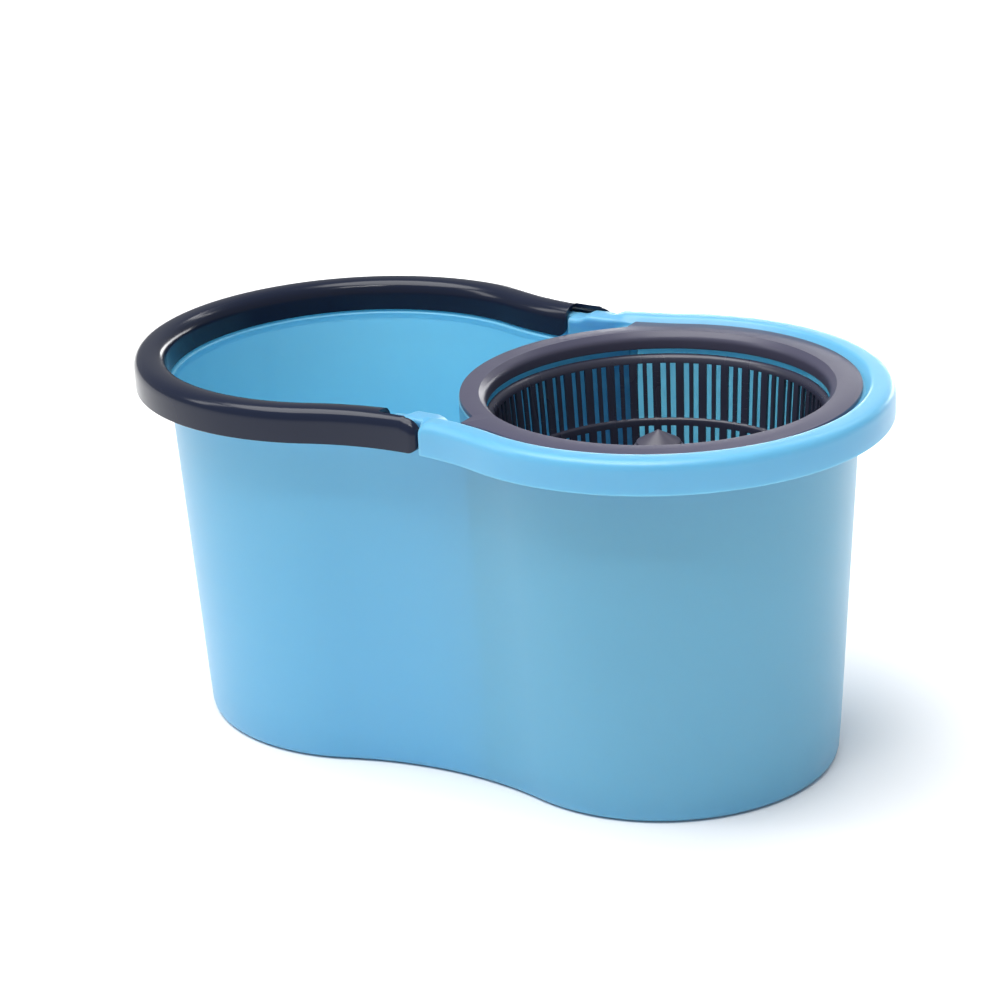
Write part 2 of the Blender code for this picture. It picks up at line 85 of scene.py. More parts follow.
# Rim cross-sections as corners (offset, height, rounding) in millimetres, matched corner for corner.
BASKET_END_RIM = (
    (-19.9, 206.5, 0.2), (-19.9, 211.0, 0.5), (-19.9, 214.0, 0.5), (-19.9, 221.4, 3.0),
    (-11.0, 226.8, 3.0), (-2.3, 226.6, 3.0), (-2.3, 210.0, 0.3), (0.0, 210.0, 0.7),
    (0.0, 229.2, 5.8), (-13.4, 229.2, 3.2), (-17.0, 224.9, 0.5), (-17.2, 224.3, 0.2),
    (-22.1, 224.3, 0.4), (-22.1, 206.5, 0.2),
)
LUG_RIM = (
    (-19.9, 206.5, 0.2), (-19.9, 211.0, 0.5), (-19.9, 214.0, 0.5), (-19.9, 218.8, 0.8),
    (-16.0, 220.0, 0.5), (-9.6, 220.0, 0.6), (-9.6, 210.5, 0.3), (-7.2, 210.5, 0.5),
    (-7.2, 225.5, 2.2), (-13.0, 225.5, 1.0), (-22.1, 225.2, 3.0), (-22.1, 219.0, 0.2),
    (-22.1, 214.0, 0.2), (-22.1, 206.5, 0.2),
)
WASH_END_RIM = (
    (-19.9, 206.5, 0.2), (-19.9, 208.2, 1.0), (-13.4, 208.4, 1.0), (-13.4, 222.2, 0.9),
    (-11.0, 222.8, 0.4), (-9.4, 222.2, 0.5), (-9.4, 210.5, 0.3), (-7.2, 210.5, 0.5),
    (-7.2, 225.2, 2.2), (-11.0, 225.2, 0.8), (-15.6, 225.0, 3.2), (-15.6, 210.4, 0.5),
    (-22.1, 210.4, 0.9), (-22.1, 206.5, 0.2),
)
# Which corners of a cross-section lie under the rim, on its outside, on its inside, and on the lug's top.
UNDERSIDE, OUTSIDE, INSIDE = range(1, 7), range(7, 9), range(9, 13)
LUG_TOP, OUTER_TOP = (8, 9, 10), 8
CORNER_STEPS = 5

# Where the wall meets the floor, as (offset from the base plan, height) in millimetres.
FOOT_OUTSIDE = ((-30.0, 0.0), (-5.2, 0.0), (-3.4, 0.15), (-1.7, 0.9), (-0.6, 2.0), (0.0, 4.4))
FOOT_INSIDE = ((-2.4, 8.0), (-3.2, 5.0), (-4.6, 3.2), (-7.0, FLOOR), (-30.0, FLOOR))
WALL_ROWS = 12


def mix(a, b, t):
    return a + (b - a) * t


def ease(value, low, high):
    t = min(1.0, max(0.0, (value - low) / (high - low)))
    return t * t * (3.0 - 2.0 * t)


class Plan:
    """The peanut figure: a station is (arc, fraction), and an offset is outwards."""

    def __init__(self, left_x, left_r, right_x, right_r, waist_r):
        span = right_x - left_x
        to_left, to_right = left_r + waist_r, right_r + waist_r
        along = (span**2 + to_left**2 - to_right**2) / (2 * span)
        self.lobes = {"left": (left_x, left_r), "right": (right_x, right_r)}
        self.waist_r = waist_r
        self.waist_x, self.waist_y = left_x + along, math.sqrt(to_left**2 - along**2)
        self.right_turn = math.atan2(self.waist_y, self.waist_x - right_x)
        self.left_turn = math.atan2(self.waist_y, self.waist_x - left_x)
        self.waist_from = math.atan2(-self.waist_y, right_x - self.waist_x) % math.tau
        self.waist_to = math.atan2(-self.waist_y, left_x - self.waist_x) % math.tau

    def at(self, station, offset=0.0):
        arc, fraction = station
        if arc in self.lobes:
            x, radius = self.lobes[arc]
            y, radius = 0.0, radius + offset
            if arc == "right":
                angle = self.right_turn * (2.0 * fraction - 1.0)
            else:
                angle = self.left_turn + (math.tau - 2.0 * self.left_turn) * fraction
        else:
            far = arc == "far_waist"
            along = fraction if far else 1.0 - fraction
            angle = mix(self.waist_from, self.waist_to, along)
            angle = angle if far else -angle
            x, y = self.waist_x, self.waist_y if far else -self.waist_y
            radius = self.waist_r - offset
        return x + radius * math.cos(angle), y + radius * math.sin(angle)

    def waist_fraction(self, x):
        angle = math.tau - math.acos((x - self.waist_x) / self.waist_r)
        return (angle - self.waist_from) / (self.waist_to - self.waist_from)


RIM = Plan(LEFT_X, LEFT_R, RIGHT_X, RIGHT_R, WAIST_R)
BASE = Plan(BASE_LEFT_X, BASE_LEFT_R, BASE_RIGHT_X, BASE_RIGHT_R, BASE_WAIST_R)


def rounded(corners, closed=True, steps=CORNER_STEPS):
    """The points of a polyline whose corners (x, y, radius) are rounded, the same number each."""
    points = []
    count = len(corners)
    for i, (x, y, radius) in enumerate(corners):
        here = Vector((x, y))
        if not closed and i in (0, count - 1):
            points.append((x, y))
            continue
        back = Vector(corners[i - 1][:2]) - here
        ahead = Vector(corners[(i + 1) % count][:2]) - here
        back_length, ahead_length = back.length, ahead.length
        back.normalize()
        ahead.normalize()
        angle = back.angle(ahead, math.pi)
        reach = min(radius / max(math.tan(angle / 2), 1e-4), 0.48 * back_length, 0.48 * ahead_length)
        start, end = here + back * reach, here + ahead * reach
        for j in range(steps):
            t = j / (steps - 1)
            curve = start * (1 - t) ** 2 + here * 2 * t * (1 - t) + end * t**2
            points.append((curve.x, curve.y))
    return points


def mesh_from_rows(rows, ring=False, closed_rows=True, cap=True):
    """A mesh skinned over equal rows of points. A ring's last row joins its first."""
    rows = [list(row) for row in rows]
    width = len(rows[0])
    vertices = [point for row in rows for point in row]
    faces = []
    spans = len(rows) if ring else len(rows) - 1
    columns = width if closed_rows else width - 1
    for i in range(spans):
        a, b = i * width, (i + 1) % len(rows) * width
        for j in range(columns):
            k = (j + 1) % width
            faces.append((a + j, a + k, b + k, b + j))
    if cap and not ring:
        faces.append(tuple(reversed(range(width))))
        last = (len(rows) - 1) * width
        faces.append(tuple(range(last, last + width)))
    mesh = bpy.data.meshes.new("skin")
    mesh.from_pydata([tuple(v) for v in vertices], [], faces)
    return mesh


def add_piece(name, mesh, smooth_angle=38.0, material=None):
    bm = bmesh.new()
    bm.from_mesh(mesh)
    bmesh.ops.remove_doubles(bm, verts=bm.verts, dist=1e-7)
    bmesh.ops.dissolve_degenerate(bm, edges=bm.edges, dist=1e-7)
    bmesh.ops.recalc_face_normals(bm, faces=bm.faces)
    bm.to_mesh(mesh)
    bm.free()
    mesh.name = name
    mesh.shade_smooth()
    mesh.set_sharp_from_angle(angle=math.radians(smooth_angle))
    piece = bpy.data.objects.new(name, mesh)
    bpy.context.scene.collection.objects.link(piece)
    if material:
        mesh.materials.clear()
        mesh.materials.append(material)
    return piece


def applied(piece):
    """The piece with its modifiers made part of its mesh."""
    graph = bpy.context.evaluated_depsgraph_get()
    graph.update()
    mesh = bpy.data.meshes.new_from_object(piece.evaluated_get(graph))
    piece.modifiers.clear()
    piece.data = mesh
    return piece


def carve(piece, operation, tools, smooth_angle=38.0):
    """A Boolean of the piece with each tool in turn, after which the tools are gone."""
    for tool in tools:
        step = piece.modifiers.new("carve", "BOOLEAN")
        step.operation = operation
        step.solver = "EXACT"
        step.object = tool
        applied(piece)
        bpy.data.objects.remove(tool)
    piece.data.shade_smooth()
    piece.data.set_sharp_from_angle(angle=math.radians(smooth_angle))
    return piece


def soften_edges(piece, width, angle=45.0, segments=2):
    bevel = piece.modifiers.new("bevel", "BEVEL")
    bevel.width = width
    bevel.segments = segments
    bevel.limit_method = "ANGLE"
    bevel.angle_limit = math.radians(angle)
    bevel.use_clamp_overlap = True
    applied(piece)
    piece.data.shade_smooth()
    piece.data.set_sharp_from_angle(angle=math.radians(50.0))
    return piece


def lathe(profile, at=SPINDLE, steps=96, closed=False):
    """A mesh turned about Z from (radius, height) points in millimetres."""
    rows = []
    for i in range(steps):
        turn = math.tau * i / steps
        rows.append([
            (at.x + r * MM * math.cos(turn), at.y + r * MM * math.sin(turn), at.z + z * MM)
            for r, z in profile
        ])
    return mesh_from_rows(rows, ring=True, closed_rows=closed)


def show(piece, body, slot, *replaced):
    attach(piece, body)
    if replaced:
        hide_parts(*replaced)
    return piece


# ---------------------------------------------------------------- materials


def new_plastic(name, colour, roughness, grain=0.25, mottle=0.035, scuffs=0.5, gloss=0.5, subsurface=0.0):
    """Moulded plastic: faint mottling, a fine moulded grain, soft flow marks and hairline scuffs."""
    material = bpy.data.materials.new(name)
    material.use_nodes = True
    tree = material.node_tree
    nodes, links = tree.nodes, tree.links
    shader = nodes["Principled BSDF"]
    shader.inputs["IOR"].default_value = 1.49
    shader.inputs["Specular IOR Level"].default_value = gloss
    if subsurface:
        shader.inputs["Subsurface Weight"].default_value = subsurface
        shader.inputs["Subsurface Radius"].default_value = (0.7, 0.95, 1.0)
        shader.inputs["Subsurface Scale"].default_value = 0.012
    place = nodes.new("ShaderNodeTexCoord")

    def noise(scale, detail, stretch=(1.0, 1.0, 1.0), rough=0.5):
        mapping = nodes.new("ShaderNodeMapping")
        mapping.inputs["Scale"].default_value = stretch
        texture = nodes.new("ShaderNodeTexNoise")
        texture.inputs["Scale"].default_value = scale
        texture.inputs["Detail"].default_value = detail
        texture.inputs["Roughness"].default_value = rough
        links.new(place.outputs["Object"], mapping.inputs["Vector"])
        links.new(mapping.outputs["Vector"], texture.inputs["Vector"])
        return texture.outputs["Fac"]

    def ramp(source, low, high, from_value, to_value):
        node = nodes.new("ShaderNodeMapRange")
        node.inputs["From Min"].default_value = low
        node.inputs["From Max"].default_value = high
        node.inputs["To Min"].default_value = from_value
        node.inputs["To Max"].default_value = to_value
        links.new(source, node.inputs["Value"])
        return node.outputs["Result"]

    def scaled(rgb, factor):
        return (*[min(1.0, c * factor) for c in rgb], 1.0)

    clouds = noise(9.0, 3.0)
    hairs = noise(210.0, 4.0, stretch=(1.0, 1.0, 9.0), rough=0.7)
    tone = nodes.new("ShaderNodeMix")
    tone.data_type = "RGBA"
    tone.inputs["A"].default_value = scaled(colour, 1.0 - mottle)
    tone.inputs["B"].default_value = scaled(colour, 1.0 + mottle)
    links.new(ramp(clouds, 0.15, 0.85, 0.0, 1.0), tone.inputs["Factor"])
    worn = nodes.new("ShaderNodeMix")
    worn.data_type = "RGBA"
    worn.inputs["B"].default_value = (*[mix(c, 0.7, 0.18) for c in colour], 1.0)
    links.new(tone.outputs["Result"], worn.inputs["A"])
    links.new(ramp(hairs, 0.68, 0.80, 0.0, 0.35 * scuffs), worn.inputs["Factor"])
    links.new(worn.outputs["Result"], shader.inputs["Base Color"])

    flow = noise(26.0, 2.0, stretch=(1.0, 1.0, 0.35))
    rough_sum = nodes.new("ShaderNodeMath")
    rough_sum.operation = "ADD"
    links.new(ramp(flow, 0.1, 0.9, roughness - 0.03, roughness + 0.03), rough_sum.inputs[0])
    links.new(ramp(hairs, 0.62, 0.80, 0.0, 0.12 * scuffs), rough_sum.inputs[1])
    links.new(rough_sum.outputs["Value"], shader.inputs["Roughness"])

    pebble = noise(1500.0, 2.0)
    ripple = noise(34.0, 2.0)
    fine = nodes.new("ShaderNodeBump")
    fine.inputs["Strength"].default_value = grain
    fine.inputs["Distance"].default_value = 0.00006
    links.new(pebble, fine.inputs["Height"])
    broad = nodes.new("ShaderNodeBump")
    broad.inputs["Strength"].default_value = 0.35
    broad.inputs["Distance"].default_value = 0.00035
    links.new(ripple, broad.inputs["Height"])
    links.new(fine.outputs["Normal"], broad.inputs["Normal"])
    links.new(broad.outputs["Normal"], shader.inputs["Normal"])
    return material


def new_steel(name):
    """Zinc-plated steel, faintly brushed, with dull spangle."""
    material = bpy.data.materials.new(name)
    material.use_nodes = True
    nodes, links = material.node_tree.nodes, material.node_tree.links
    shader = nodes["Principled BSDF"]
    shader.inputs["Metallic"].default_value = 1.0
    place = nodes.new("ShaderNodeTexCoord")
    spangle = nodes.new("ShaderNodeTexVoronoi")
    spangle.inputs["Scale"].default_value = 700.0
    brushed = nodes.new("ShaderNodeTexNoise")
    brushed.inputs["Scale"].default_value = 900.0
    colour = nodes.new("ShaderNodeMix")
    colour.data_type = "RGBA"
    colour.inputs["A"].default_value = (0.48, 0.49, 0.50, 1.0)
    colour.inputs["B"].default_value = (0.68, 0.68, 0.66, 1.0)
    rough = nodes.new("ShaderNodeMapRange")
    rough.inputs["To Min"].default_value = 0.24
    rough.inputs["To Max"].default_value = 0.42
    bump = nodes.new("ShaderNodeBump")
    bump.inputs["Strength"].default_value = 0.2
    bump.inputs["Distance"].default_value = 0.00004
    for texture in (spangle, brushed):
        links.new(place.outputs["Object"], texture.inputs["Vector"])
    links.new(spangle.outputs["Distance"], colour.inputs["Factor"])
    links.new(colour.outputs["Result"], shader.inputs["Base Color"])
    links.new(brushed.outputs["Fac"], rough.inputs["Value"])
    links.new(rough.outputs["Result"], shader.inputs["Roughness"])
    links.new(brushed.outputs["Fac"], bump.inputs["Height"])
    links.new(bump.outputs["Normal"], shader.inputs["Normal"])
    return material


BLUE = new_plastic("sky_blue_plastic", (0.135, 0.42, 0.67), 0.33, mottle=0.02, scuffs=0.15, subsurface=0.7)
SLATE = new_plastic("slate_gloss_plastic", (0.011, 0.016, 0.036), 0.16, gloss=0.3, grain=0.15, mottle=0.06)
COVER = new_plastic("cover_slate_plastic", (0.075, 0.074, 0.120), 0.34, gloss=0.4, grain=0.3, mottle=0.05)
BASKET = new_plastic("basket_slate_plastic", (0.034, 0.036, 0.062), 0.28, grain=0.3, mottle=0.06)
SEAT = new_plastic("seat_grey_plastic", (0.062, 0.060, 0.090), 0.42, grain=0.3, mottle=0.05)
NYLON = new_plastic("natural_nylon", (0.74, 0.73, 0.68), 0.42, grain=0.3)
STEEL = new_steel("zinc_plated_steel")


# ---------------------------------------------------------------- tub


def lug_hump(x):
    """How far the lug's top rises over the hinge, by x in millimetres."""
    rise, from_x, to_x = 2.9, -3.4, 3.6
    return rise * ease(x, from_x, to_x)


def end_growth(x):
    """How much of the basket end's outer rim has grown at x: quick, with a rounded edge."""
    edge_r, first_step = 2.2, 0.80
    reach = (x - RIM_START) / edge_r
    if reach <= 0.0:
        return 0.0
    if reach >= 1.0:
        return 1.0
    return first_step + (1.0 - first_step) * math.sqrt(1.0 - (1.0 - reach) ** 2)


def rim_corners(x, arc):
    """The rim's corners at a station, blended between the three cross-sections."""
    if arc == "right":
        return BASKET_END_RIM
    if arc == "left":
        return WASH_END_RIM
    toward_wash = 1.0 - ease(x, LUG_START, LUG_START + 1.0)
    rim_start_drop, full_height_x, inside_done_x = 5.0, 21.0, 30.0
    corners = []
    for i in range(len(LUG_RIM)):
        if i in UNDERSIDE:
            grown = ease(x, UNDERSIDE_START, UNDERSIDE_START + 0.6)
        elif i in OUTSIDE:
            grown = end_growth(x)
        elif i in INSIDE:
            grown = ease(x, RIM_START - 1.0, inside_done_x)
        else:
            grown = 0.0
        corner = [mix(a, b, grown) for a, b in zip(LUG_RIM[i], BASKET_END_RIM[i])]
        if i in LUG_TOP:
            corner[1] += lug_hump(x) * (1.0 - grown)
            if i == OUTER_TOP and x >= RIM_START:
                corner[1] -= rim_start_drop * (1.0 - ease(x, RIM_START - 3.0, full_height_x))
        corners.append([mix(a, b, toward_wash) for a, b in zip(corner, WASH_END_RIM[i])])
    return corners


def tub_stations():
    """Stations round the tub, close together where the rim changes section at the waist."""
    lobe = [i / 150 for i in range(151)]
    past_rim_start = (0.0, 0.02, 0.1, 0.35, 0.8, 1.5, 2.2, 2.4, 3.0, 4.5, 6.5, 9.0, 12.0, 16.0, 20.0)
    marks = [RIM_START + d for d in past_rim_start]
    marks += [RIM_START - d for d in (1.5, 3.0, 4.5, 6.0, 7.5, 9.0, 10.5, 12.0, 13.5, 16.0, 19.0, 22.0)]
    marks += [LUG_START + d for d in (1.0, 0.75, 0.5, 0.25, 0.0, -2.0)]
    marks += [RIM_START + d for d in range(24, 92, 4)]
    marks += [LUG_START - d for d in range(6, 96, 4)]
    fractions = sorted(RIM.waist_fraction(x * MM) for x in marks)
    fractions = [f for f in fractions if 0.002 < f < 0.998]
    stations = [("right", f) for f in lobe]
    stations += [("far_waist", f) for f in fractions]
    stations += [("left", f) for f in lobe]
    stations += [("near_waist", 1.0 - f) for f in reversed(fractions)]
    return stations


def wall_rows(foot, head, foot_z, head_z, upward):
    """Points up or down a straight wall that runs from height 0 at its foot to its head."""
    points = []
    for i in range(1, WALL_ROWS):
        t = i / WALL_ROWS if upward else 1.0 - i / WALL_ROWS
        height = mix(foot_z, head_z, t)
        reach = height / head_z
        points.append((mix(foot[0], head[0], reach), mix(foot[1], head[1], reach), height * MM))
    return points


def build_tub():
    rows = []
    for station in tub_stations():
        x = RIM.at(station)[0] / MM
        section = rounded(rim_corners(x, station[0]))
        outer_end, inner_end = section[0], section[-1]
        row = [(*BASE.at(station, offset * MM), height * MM) for offset, height in FOOT_OUTSIDE]
        foot, head = BASE.at(station), RIM.at(station, outer_end[0] * MM)
        row += wall_rows(foot, head, FOOT_OUTSIDE[-1][1], outer_end[1], upward=True)
        row += [(*RIM.at(station, offset * MM), height * MM) for offset, height in section]
        foot = BASE.at(station, FOOT_INSIDE[0][0] * MM)
        head = RIM.at(station, inner_end[0] * MM)
        row += wall_rows(foot, head, FOOT_INSIDE[0][1], inner_end[1], upward=False)
        row += [(*BASE.at(station, offset * MM), height * MM) for offset, height in FOOT_INSIDE]
        rows.append(row)
    mesh = mesh_from_rows(rows, ring=True, closed_rows=False)
    bm = bmesh.new()
    bm.from_mesh(mesh)
    bmesh.ops.holes_fill(bm, edges=[edge for edge in bm.edges if edge.is_boundary], sides=0)
    bm.to_mesh(mesh)
    bm.free()
    return add_piece("tub_shell", mesh, material=BLUE)


def build_divider():
    """The round wall of the basket's well, open to the cover ring above it."""
    inner_r = DIVIDER_R - DIVIDER_WALL
    leg_x = WING_X + DIVIDER_WALL
    outer_turn = math.acos((RIGHT_X - WING_X) / DIVIDER_R)
    inner_turn = math.acos((RIGHT_X - leg_x) / inner_r)
    sweep = [2.0 * i / 90 - 1.0 for i in range(91)]

    def arc(radius, turn, steps):
        return [(RIGHT_X - radius * math.cos(turn * t), radius * math.sin(turn * t)) for t in steps]

    def row(leg_end, height):
        path = [(WING_X, -leg_end), *arc(DIVIDER_R, outer_turn, sweep), (WING_X, leg_end)]
        path += [(leg_x, leg_end), *arc(inner_r, inner_turn, reversed(sweep)), (leg_x, -leg_end)]
        return [(x, y, height) for x, y in path]

    low_end, high_end, foot = 90.5, 99.7, 1.2
    heights = [mix(foot, LEDGE, i / 10) for i in range(11)]
    rows = [row(mix(low_end, high_end, (h - foot) / (LEDGE - foot)) * MM, h * MM) for h in heights]
    return add_piece("tub_divider", mesh_from_rows(rows), material=BLUE)


# ---------------------------------------------------------------- handle


def handle_stations(end_x, dense):
    marks = [end_x - d for d in dense]
    marks += [end_x - d for d in range(12, 110, 3)]
    fractions = sorted(RIM.waist_fraction(x * MM) for x in marks)
    fractions = [f for f in fractions if f < 0.998]
    lobe = [i / 160 for i in range(161)]
    stations = [("far_waist", f) for f in fractions] + [("left", f) for f in lobe]
    return stations + [("near_waist", 1.0 - f) for f in reversed(fractions)]


def handle_solid(name, end_x, corners_at):
    """A solid swept over the wash end's rim, whose corners change towards its two ends."""
    dense = (0.0, 0.05, 0.15, 0.35, 0.7, 1.1, 1.6, 2.2, 3.0, 4.0, 5.0, 6.0, 7.0, 8.0, 9.0, 10.0, 11.0)
    rows = []
    for station in handle_stations(end_x, dense):
        x = RIM.at(station)[0] / MM if "waist" in station[0] else LEFT_X / MM
        section = rounded(corners_at(x), steps=8)
        rows.append([(*RIM.at(station, offset * MM), height * MM) for offset, height in section])
    return add_piece(name, mesh_from_rows(rows))


def quarter(distance, radius):
    """How far a round corner of this radius has drawn back, at a distance before its end."""
    if distance >= radius:
        return 0.0
    return radius - math.sqrt(max(0.0, radius**2 - (radius - distance) ** 2))


def build_handle():
    top = HANDLE_HIGH.z / MM
    low = HANDLE_LOW.z / MM
    pivot_x, pivot_z = PIVOT.x / MM, PIVOT.z / MM
    end_x = pivot_x + HANDLE_END_R

    def top_at(x, lower):
        straight = top - lower
        if x <= pivot_x:
            return straight
        reach = HANDLE_END_R - lower
        round_off = math.sqrt(max(0.0, reach**2 - (x - pivot_x) ** 2))
        return min(straight, pivot_z + max(round_off, 4.0))

    def shell(x):
        drawn = quarter(end_x - x, 4.6)
        bottom = low + quarter(end_x - x, 6.0)
        height = top_at(x, 0.0)
        return (
            (-drawn, bottom, 0.7), (-drawn, height, 8.6), (-18.9, height - 0.2, 9.4),
            (-20.2, INNER_WALL_LOW, 0.7), (-8.6, INNER_WALL_LOW, 0.3), (-8.6, bottom, 0.3),
        )

    def cavity(x):
        side = -HANDLE_WALL - quarter(end_x - HANDLE_END_WALL - x, 2.6)
        height = top_at(x, HANDLE_WALL)
        return (side, BELOW, 0.3), (side, height, 6.2), (-16.8, height, 7.0), (-18.6, BELOW, 0.3)

    handle = handle_solid("bail_handle_shell", end_x, shell)
    hollow = handle_solid("handle_hollow", end_x - HANDLE_END_WALL, cavity)
    window = window_solid()
    carve(handle, "DIFFERENCE", [hollow, window])
    soften_edges(handle, 0.45 * MM)
    handle.data.materials.clear()
    handle.data.materials.append(SLATE)
    return handle


def window_solid():
    """What is cut from between the cheeks: the web and the inner wall, with a round lower corner."""
    corner_x, corner_z, edge_z, beyond = WINDOW_START - WINDOW_CORNER_R, 218.2, 227.4, 40.0
    corner = [
        (corner_x + WINDOW_CORNER_R * math.sin(t), corner_z - WINDOW_CORNER_R * math.cos(t))
        for t in np.linspace(0, math.pi / 2, 12)
    ]
    upper = [
        (WINDOW_START + 3.0 * (1 - math.cos(t)), edge_z + 5.0 * math.sin(t))
        for t in np.linspace(0, math.pi / 2, 8)
    ]
    outline = [(corner_x, BELOW), *corner, *upper, (WINDOW_START + 3.0, ABOVE)]
    outline += [(beyond, ABOVE), (beyond, BELOW)]
    rows = [[(x * MM, y, z * MM) for x, z in outline] for y in (-WINDOW_HALF, WINDOW_HALF)]
    return add_piece("handle_window", mesh_from_rows(rows))


# ---------------------------------------------------------------- cover ring


def build_cover_ring():
    top = RING_HIGH.z / MM
    wing = math.atan2(WING_Y, WING_X - RIGHT_X)
    arc_r = DIVIDER_R - RING_SETBACK
    notch = math.pi - math.acos((RIGHT_X - WING_X) / arc_r)
    edge = [RIM.at(("right", 0.5 + 0.5 * i / 200), RING_INSET) for i in range(201)]
    edge += [RIM.at(("far_waist", i / 200), RING_INSET) for i in range(1, 120)]
    polar = [(math.atan2(y, x - RIGHT_X), math.hypot(x - RIGHT_X, y)) for x, y in edge]
    bearings_known = np.array([p[0] for p in polar])
    distances = np.array([p[1] for p in polar])

    def reach(bearing):
        bearing = abs(bearing)
        if bearing > wing + 1e-6:
            return arc_r
        return float(np.interp(bearing, bearings_known, distances))

    half = list(np.linspace(0.0, wing, 130)) + list(np.linspace(notch, math.pi, 60))
    bearings = half + [-b for b in reversed(half[1:-1])]

    def loop(height, radius=None, inward=0.0):
        points = []
        for bearing in bearings:
            r = radius * MM if radius else reach(bearing) - inward * MM
            points.append((RIGHT_X + r * math.cos(bearing), r * math.sin(bearing), height * MM))
        return points

    lip = rounded(
        ((112.0, top, 0.1), (101.9, top, 0.1), (98.0, top - 3.6, 4.8), (98.0, top - 10.4, 0.9),
         (100.2, top - 10.4, 0.8), (100.8, top - 2.2, 0.5), (112.0, top - 2.2, 0.1)),
        closed=False, steps=7,
    )[1:-1]
    rows = [loop(top - 2.2), loop(top - 0.45), loop(top - 0.12, inward=0.12), loop(top, inward=0.45)]
    rows.append(loop(top, 105.0))
    rows += [loop(z, r) for r, z in lip]
    rows.append(loop(top - 2.2, 104.0))
    return add_piece("cover_ring_plate", mesh_from_rows(rows, ring=True), material=COVER)


# ---------------------------------------------------------------- basket

SLOT_GROUPS = 42
WIDE_RIB, SLOT, NARROW_RIB = 4.7, 3.2, 2.4
FIRST_RIB = math.radians(110.0)
# Radius and height of the basket's inner surface in millimetres, from its flange to the centre hole.
BASKET_WALL = (
    (98.4, 213.8), (97.6, 213.8), (96.0, 213.2), (94.9, 211.8), (94.4, 210.4), (94.1, 209.0),
    (93.4, 200.0), (92.6, 188.0), (91.9, 176.6), (91.7, 175.0), (90.4, 174.4), (90.1, 173.6),
    (90.0, 170.4), (89.0, 155.0), (87.4, 134.0), (87.0, 130.0), (86.0, 126.6), (83.0, 124.6),
    (70.0, 124.5), (52.0, 124.5), (34.0, 124.5), (13.0, 124.5),
)
SLOTTED = {5, 6, 7, 8, 12, 13}  # the spans below these points that are cut by slots
BASKET_THICKNESS = 1.8 * MM


def build_basket():
    """The slotted wall and floor, as an open surface thickened outwards and softly bevelled."""
    unit = math.tau / SLOT_GROUPS / (WIDE_RIB + 2 * SLOT + NARROW_RIB)
    spans = ((WIDE_RIB / 2, False), (WIDE_RIB / 2, False), (SLOT, True), (NARROW_RIB, False), (SLOT, True))
    bearings, cut = [], []
    for group in range(SLOT_GROUPS):
        bearing = FIRST_RIB - WIDE_RIB * unit / 2 + group * math.tau / SLOT_GROUPS
        for width, is_slot in spans:
            bearings.append(bearing)
            cut.append(is_slot)
            bearing += width * unit
    vertices = [
        (RIGHT_X + r * MM * math.cos(b), r * MM * math.sin(b), z * MM)
        for r, z in BASKET_WALL for b in bearings
    ]
    count = len(bearings)
    faces = []
    for i in range(len(BASKET_WALL) - 1):
        for j in range(count):
            if i in SLOTTED and cut[j]:
                continue
            k = (j + 1) % count
            high, low = i * count, (i + 1) * count
            faces.append((high + j, high + k, low + k, low + j))
    mesh = bpy.data.meshes.new("basket")
    mesh.from_pydata(vertices, [], faces)
    basket = add_piece("basket_cage", mesh)
    shell = basket.modifiers.new("wall", "SOLIDIFY")
    shell.thickness = BASKET_THICKNESS
    shell.offset = 1.0 if basket_faces_out(basket) else -1.0
    shell.use_even_offset = True
    applied(basket)
    soften_edges(basket, 0.35 * MM, angle=50.0)
    basket.data.materials.clear()
    basket.data.materials.append(BASKET)
    return basket


def basket_faces_out(basket):
    """Whether the normals of the open surface point away from the spindle."""
    face = basket.data.polygons[0]
    away = face.center - SPINDLE
    away.z = 0.0
    return face.normal.dot(away) > 0.0


def build_seat():
    base = SEAT_LOW.z / MM
    top = SEAT_HIGH.z / MM
    profile = rounded(
        ((0.0, top, 0.1), (0.01, top - 0.05, 0.1), (12.8, top - 7.2, 0.5), (12.8, top - 8.6, 0.5),
         (14.2, top - 9.6, 0.6), (19.0, base + 9.2, 2.0), (23.0, base + 5.6, 1.5),
         (31.0, base + 5.6, 0.8), (31.0, base, 0.3), (16.4, base, 0.3), (12.0, 184.0, 0.5),
         (0.01, 190.0, 0.1), (0.0, 190.0, 0.1)),
        closed=False, steps=5,
    )
    return add_piece("mop_seat_cone", lathe(profile), material=SEAT)


# ---------------------------------------------------------------- stage, light and camera

CAMERA_AZIMUTH = math.radians(31.98)
CAMERA_ELEVATION = math.radians(20.82)
CAMERA_ROLL = math.radians(-2.71)
CAMERA_DISTANCE = 1.6645
CAMERA_TARGET = Vector((-0.0062, 0.0, 0.1391))
FOCAL_LENGTH, SENSOR = 99.69, 36.0


def add_camera():
    a, e = CAMERA_AZIMUTH, CAMERA_ELEVATION
    back = Vector((math.sin(a) * math.cos(e), -math.cos(a) * math.cos(e), math.sin(e)))
    right = Vector((math.cos(a), math.sin(a), 0.0))
    up = back.cross(right)
    c, s = math.cos(CAMERA_ROLL), math.sin(CAMERA_ROLL)
    right, up = right * c + up * s, up * c - right * s
    data = bpy.data.cameras.new("camera")
    data.lens, data.sensor_width = FOCAL_LENGTH, SENSOR
    camera = bpy.data.objects.new("camera", data)
    turn = Matrix((right, up, back)).transposed().to_4x4()
    camera.matrix_world = Matrix.Translation(CAMERA_TARGET + back * CAMERA_DISTANCE) @ turn
    bpy.context.scene.collection.objects.link(camera)
    bpy.context.scene.camera = camera


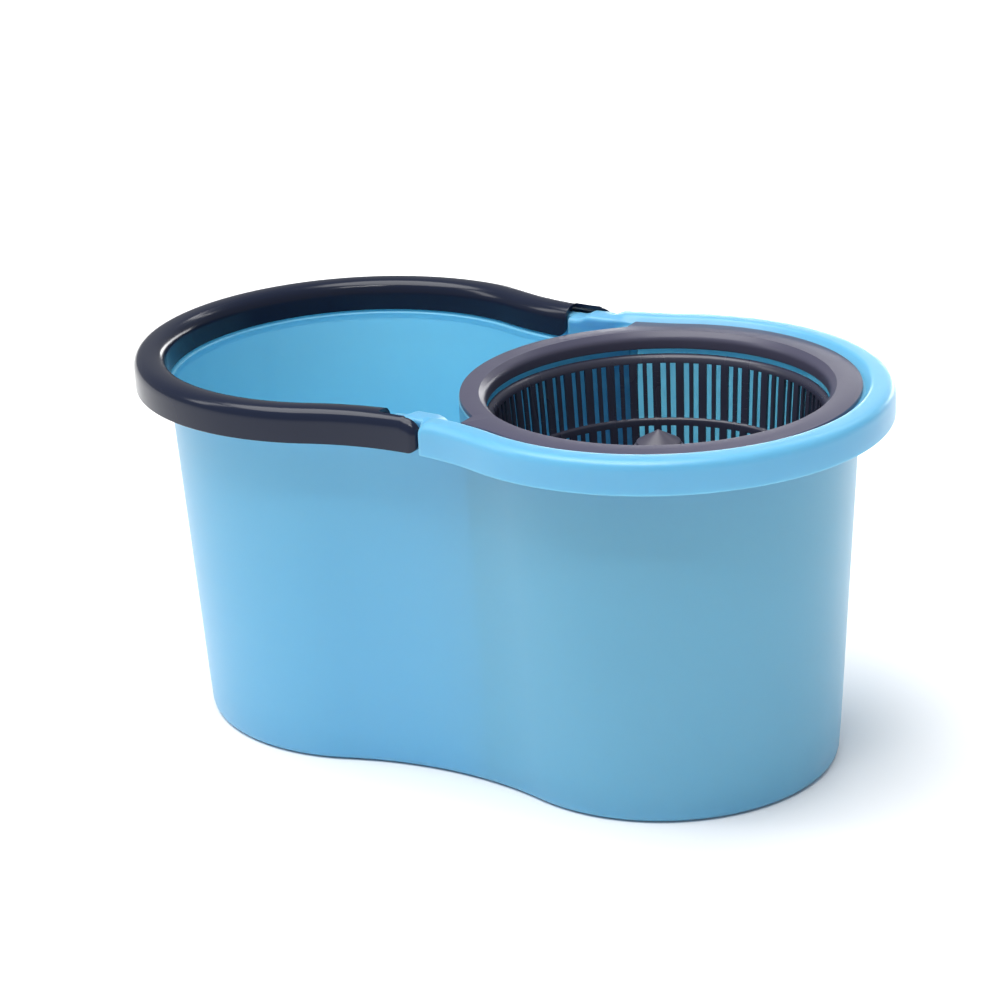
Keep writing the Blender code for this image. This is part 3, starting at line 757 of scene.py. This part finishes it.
def add_area_light(name, at, aim, size, power, colour=(1.0, 1.0, 1.0)):
    data = bpy.data.lights.new(name, "AREA")
    data.shape = "RECTANGLE"
    data.size, data.size_y = size
    data.energy = power
    data.color = colour
    light = bpy.data.objects.new(name, data)
    light.location = at
    light.rotation_euler = (Vector(aim) - Vector(at)).to_track_quat("-Z", "Y").to_euler()
    bpy.context.scene.collection.objects.link(light)


def add_stage():
    mesh = bpy.data.meshes.new("floor")
    reach = 6.0
    corners = [(x * reach, y * reach, 0.0) for x, y in ((-1, -1), (1, -1), (1, 1), (-1, 1))]
    mesh.from_pydata(corners, [], [(0, 1, 2, 3)])
    floor = bpy.data.objects.new("floor", mesh)
    floor.location.z = -0.0002
    bpy.context.scene.collection.objects.link(floor)
    material = bpy.data.materials.new("pale_floor")
    material.use_nodes = True
    shader = material.node_tree.nodes["Principled BSDF"]
    shader.inputs["Base Color"].default_value = (0.93, 0.93, 0.93, 1.0)
    shader.inputs["Roughness"].default_value = 0.9
    mesh.materials.append(material)
    world = bpy.data.worlds.new("studio")
    world.use_nodes = True
    world.node_tree.nodes["Background"].inputs["Color"].default_value = (1.0, 1.0, 1.0, 1.0)
    world.node_tree.nodes["Background"].inputs["Strength"].default_value = 0.32
    bpy.context.scene.world = world
    sun = bpy.data.lights.new("overhead", "SUN")
    sun.energy = 3.1
    sun.angle = math.radians(50.0)
    overhead = bpy.data.objects.new("overhead", sun)
    overhead.rotation_euler = (math.radians(8.0), math.radians(-12.0), 0.0)
    bpy.context.scene.collection.objects.link(overhead)
    add_area_light("key_left", (-1.5, -0.9, 1.3), (0.0, 0.0, 0.1), (0.35, 0.9), 5.0)
    add_area_light("strip_behind", (0.1, 1.5, 1.5), (0.0, 0.0, 0.2), (1.4, 0.10), 3.5)
    add_area_light("behind", (-0.1, 1.3, 0.28), (0.0, 0.0, 0.12), (1.2, 0.3), 8.0)
    add_area_light("strip_front", (0.4, -0.9, 1.9), (0.0, 0.0, 0.2), (0.7, 0.06), 7.0)
    bpy.context.scene.view_settings.view_transform = "Standard"


# ---------------------------------------------------------------- the model

show(build_tub(), "bucket", "tub_blue", "tub")
show(build_divider(), "bucket", "tub_blue", "tub")
show(build_cover_ring(), "bucket", "cover_grey", "cover_ring")
show(build_handle(), "handle", "handle_slate", "bail_handle")
show(build_basket(), "basket", "basket_slate", "basket")
show(build_seat(), "basket", "seat_grey", "mop_seat")

FINISHES = {"tub_blue": BLUE, "basket_slate": BASKET, "nylon": NYLON, "steel": STEEL}
SLOTS = {part["node"]: part["material_slot"] for part in frame["record"]["subparts"]}
for node, piece in frame["nodes"].items():
    if SLOTS[node] in FINISHES:
        piece.data.materials.clear()
        piece.data.materials.append(FINISHES[SLOTS[node]])

add_camera()
add_stage()
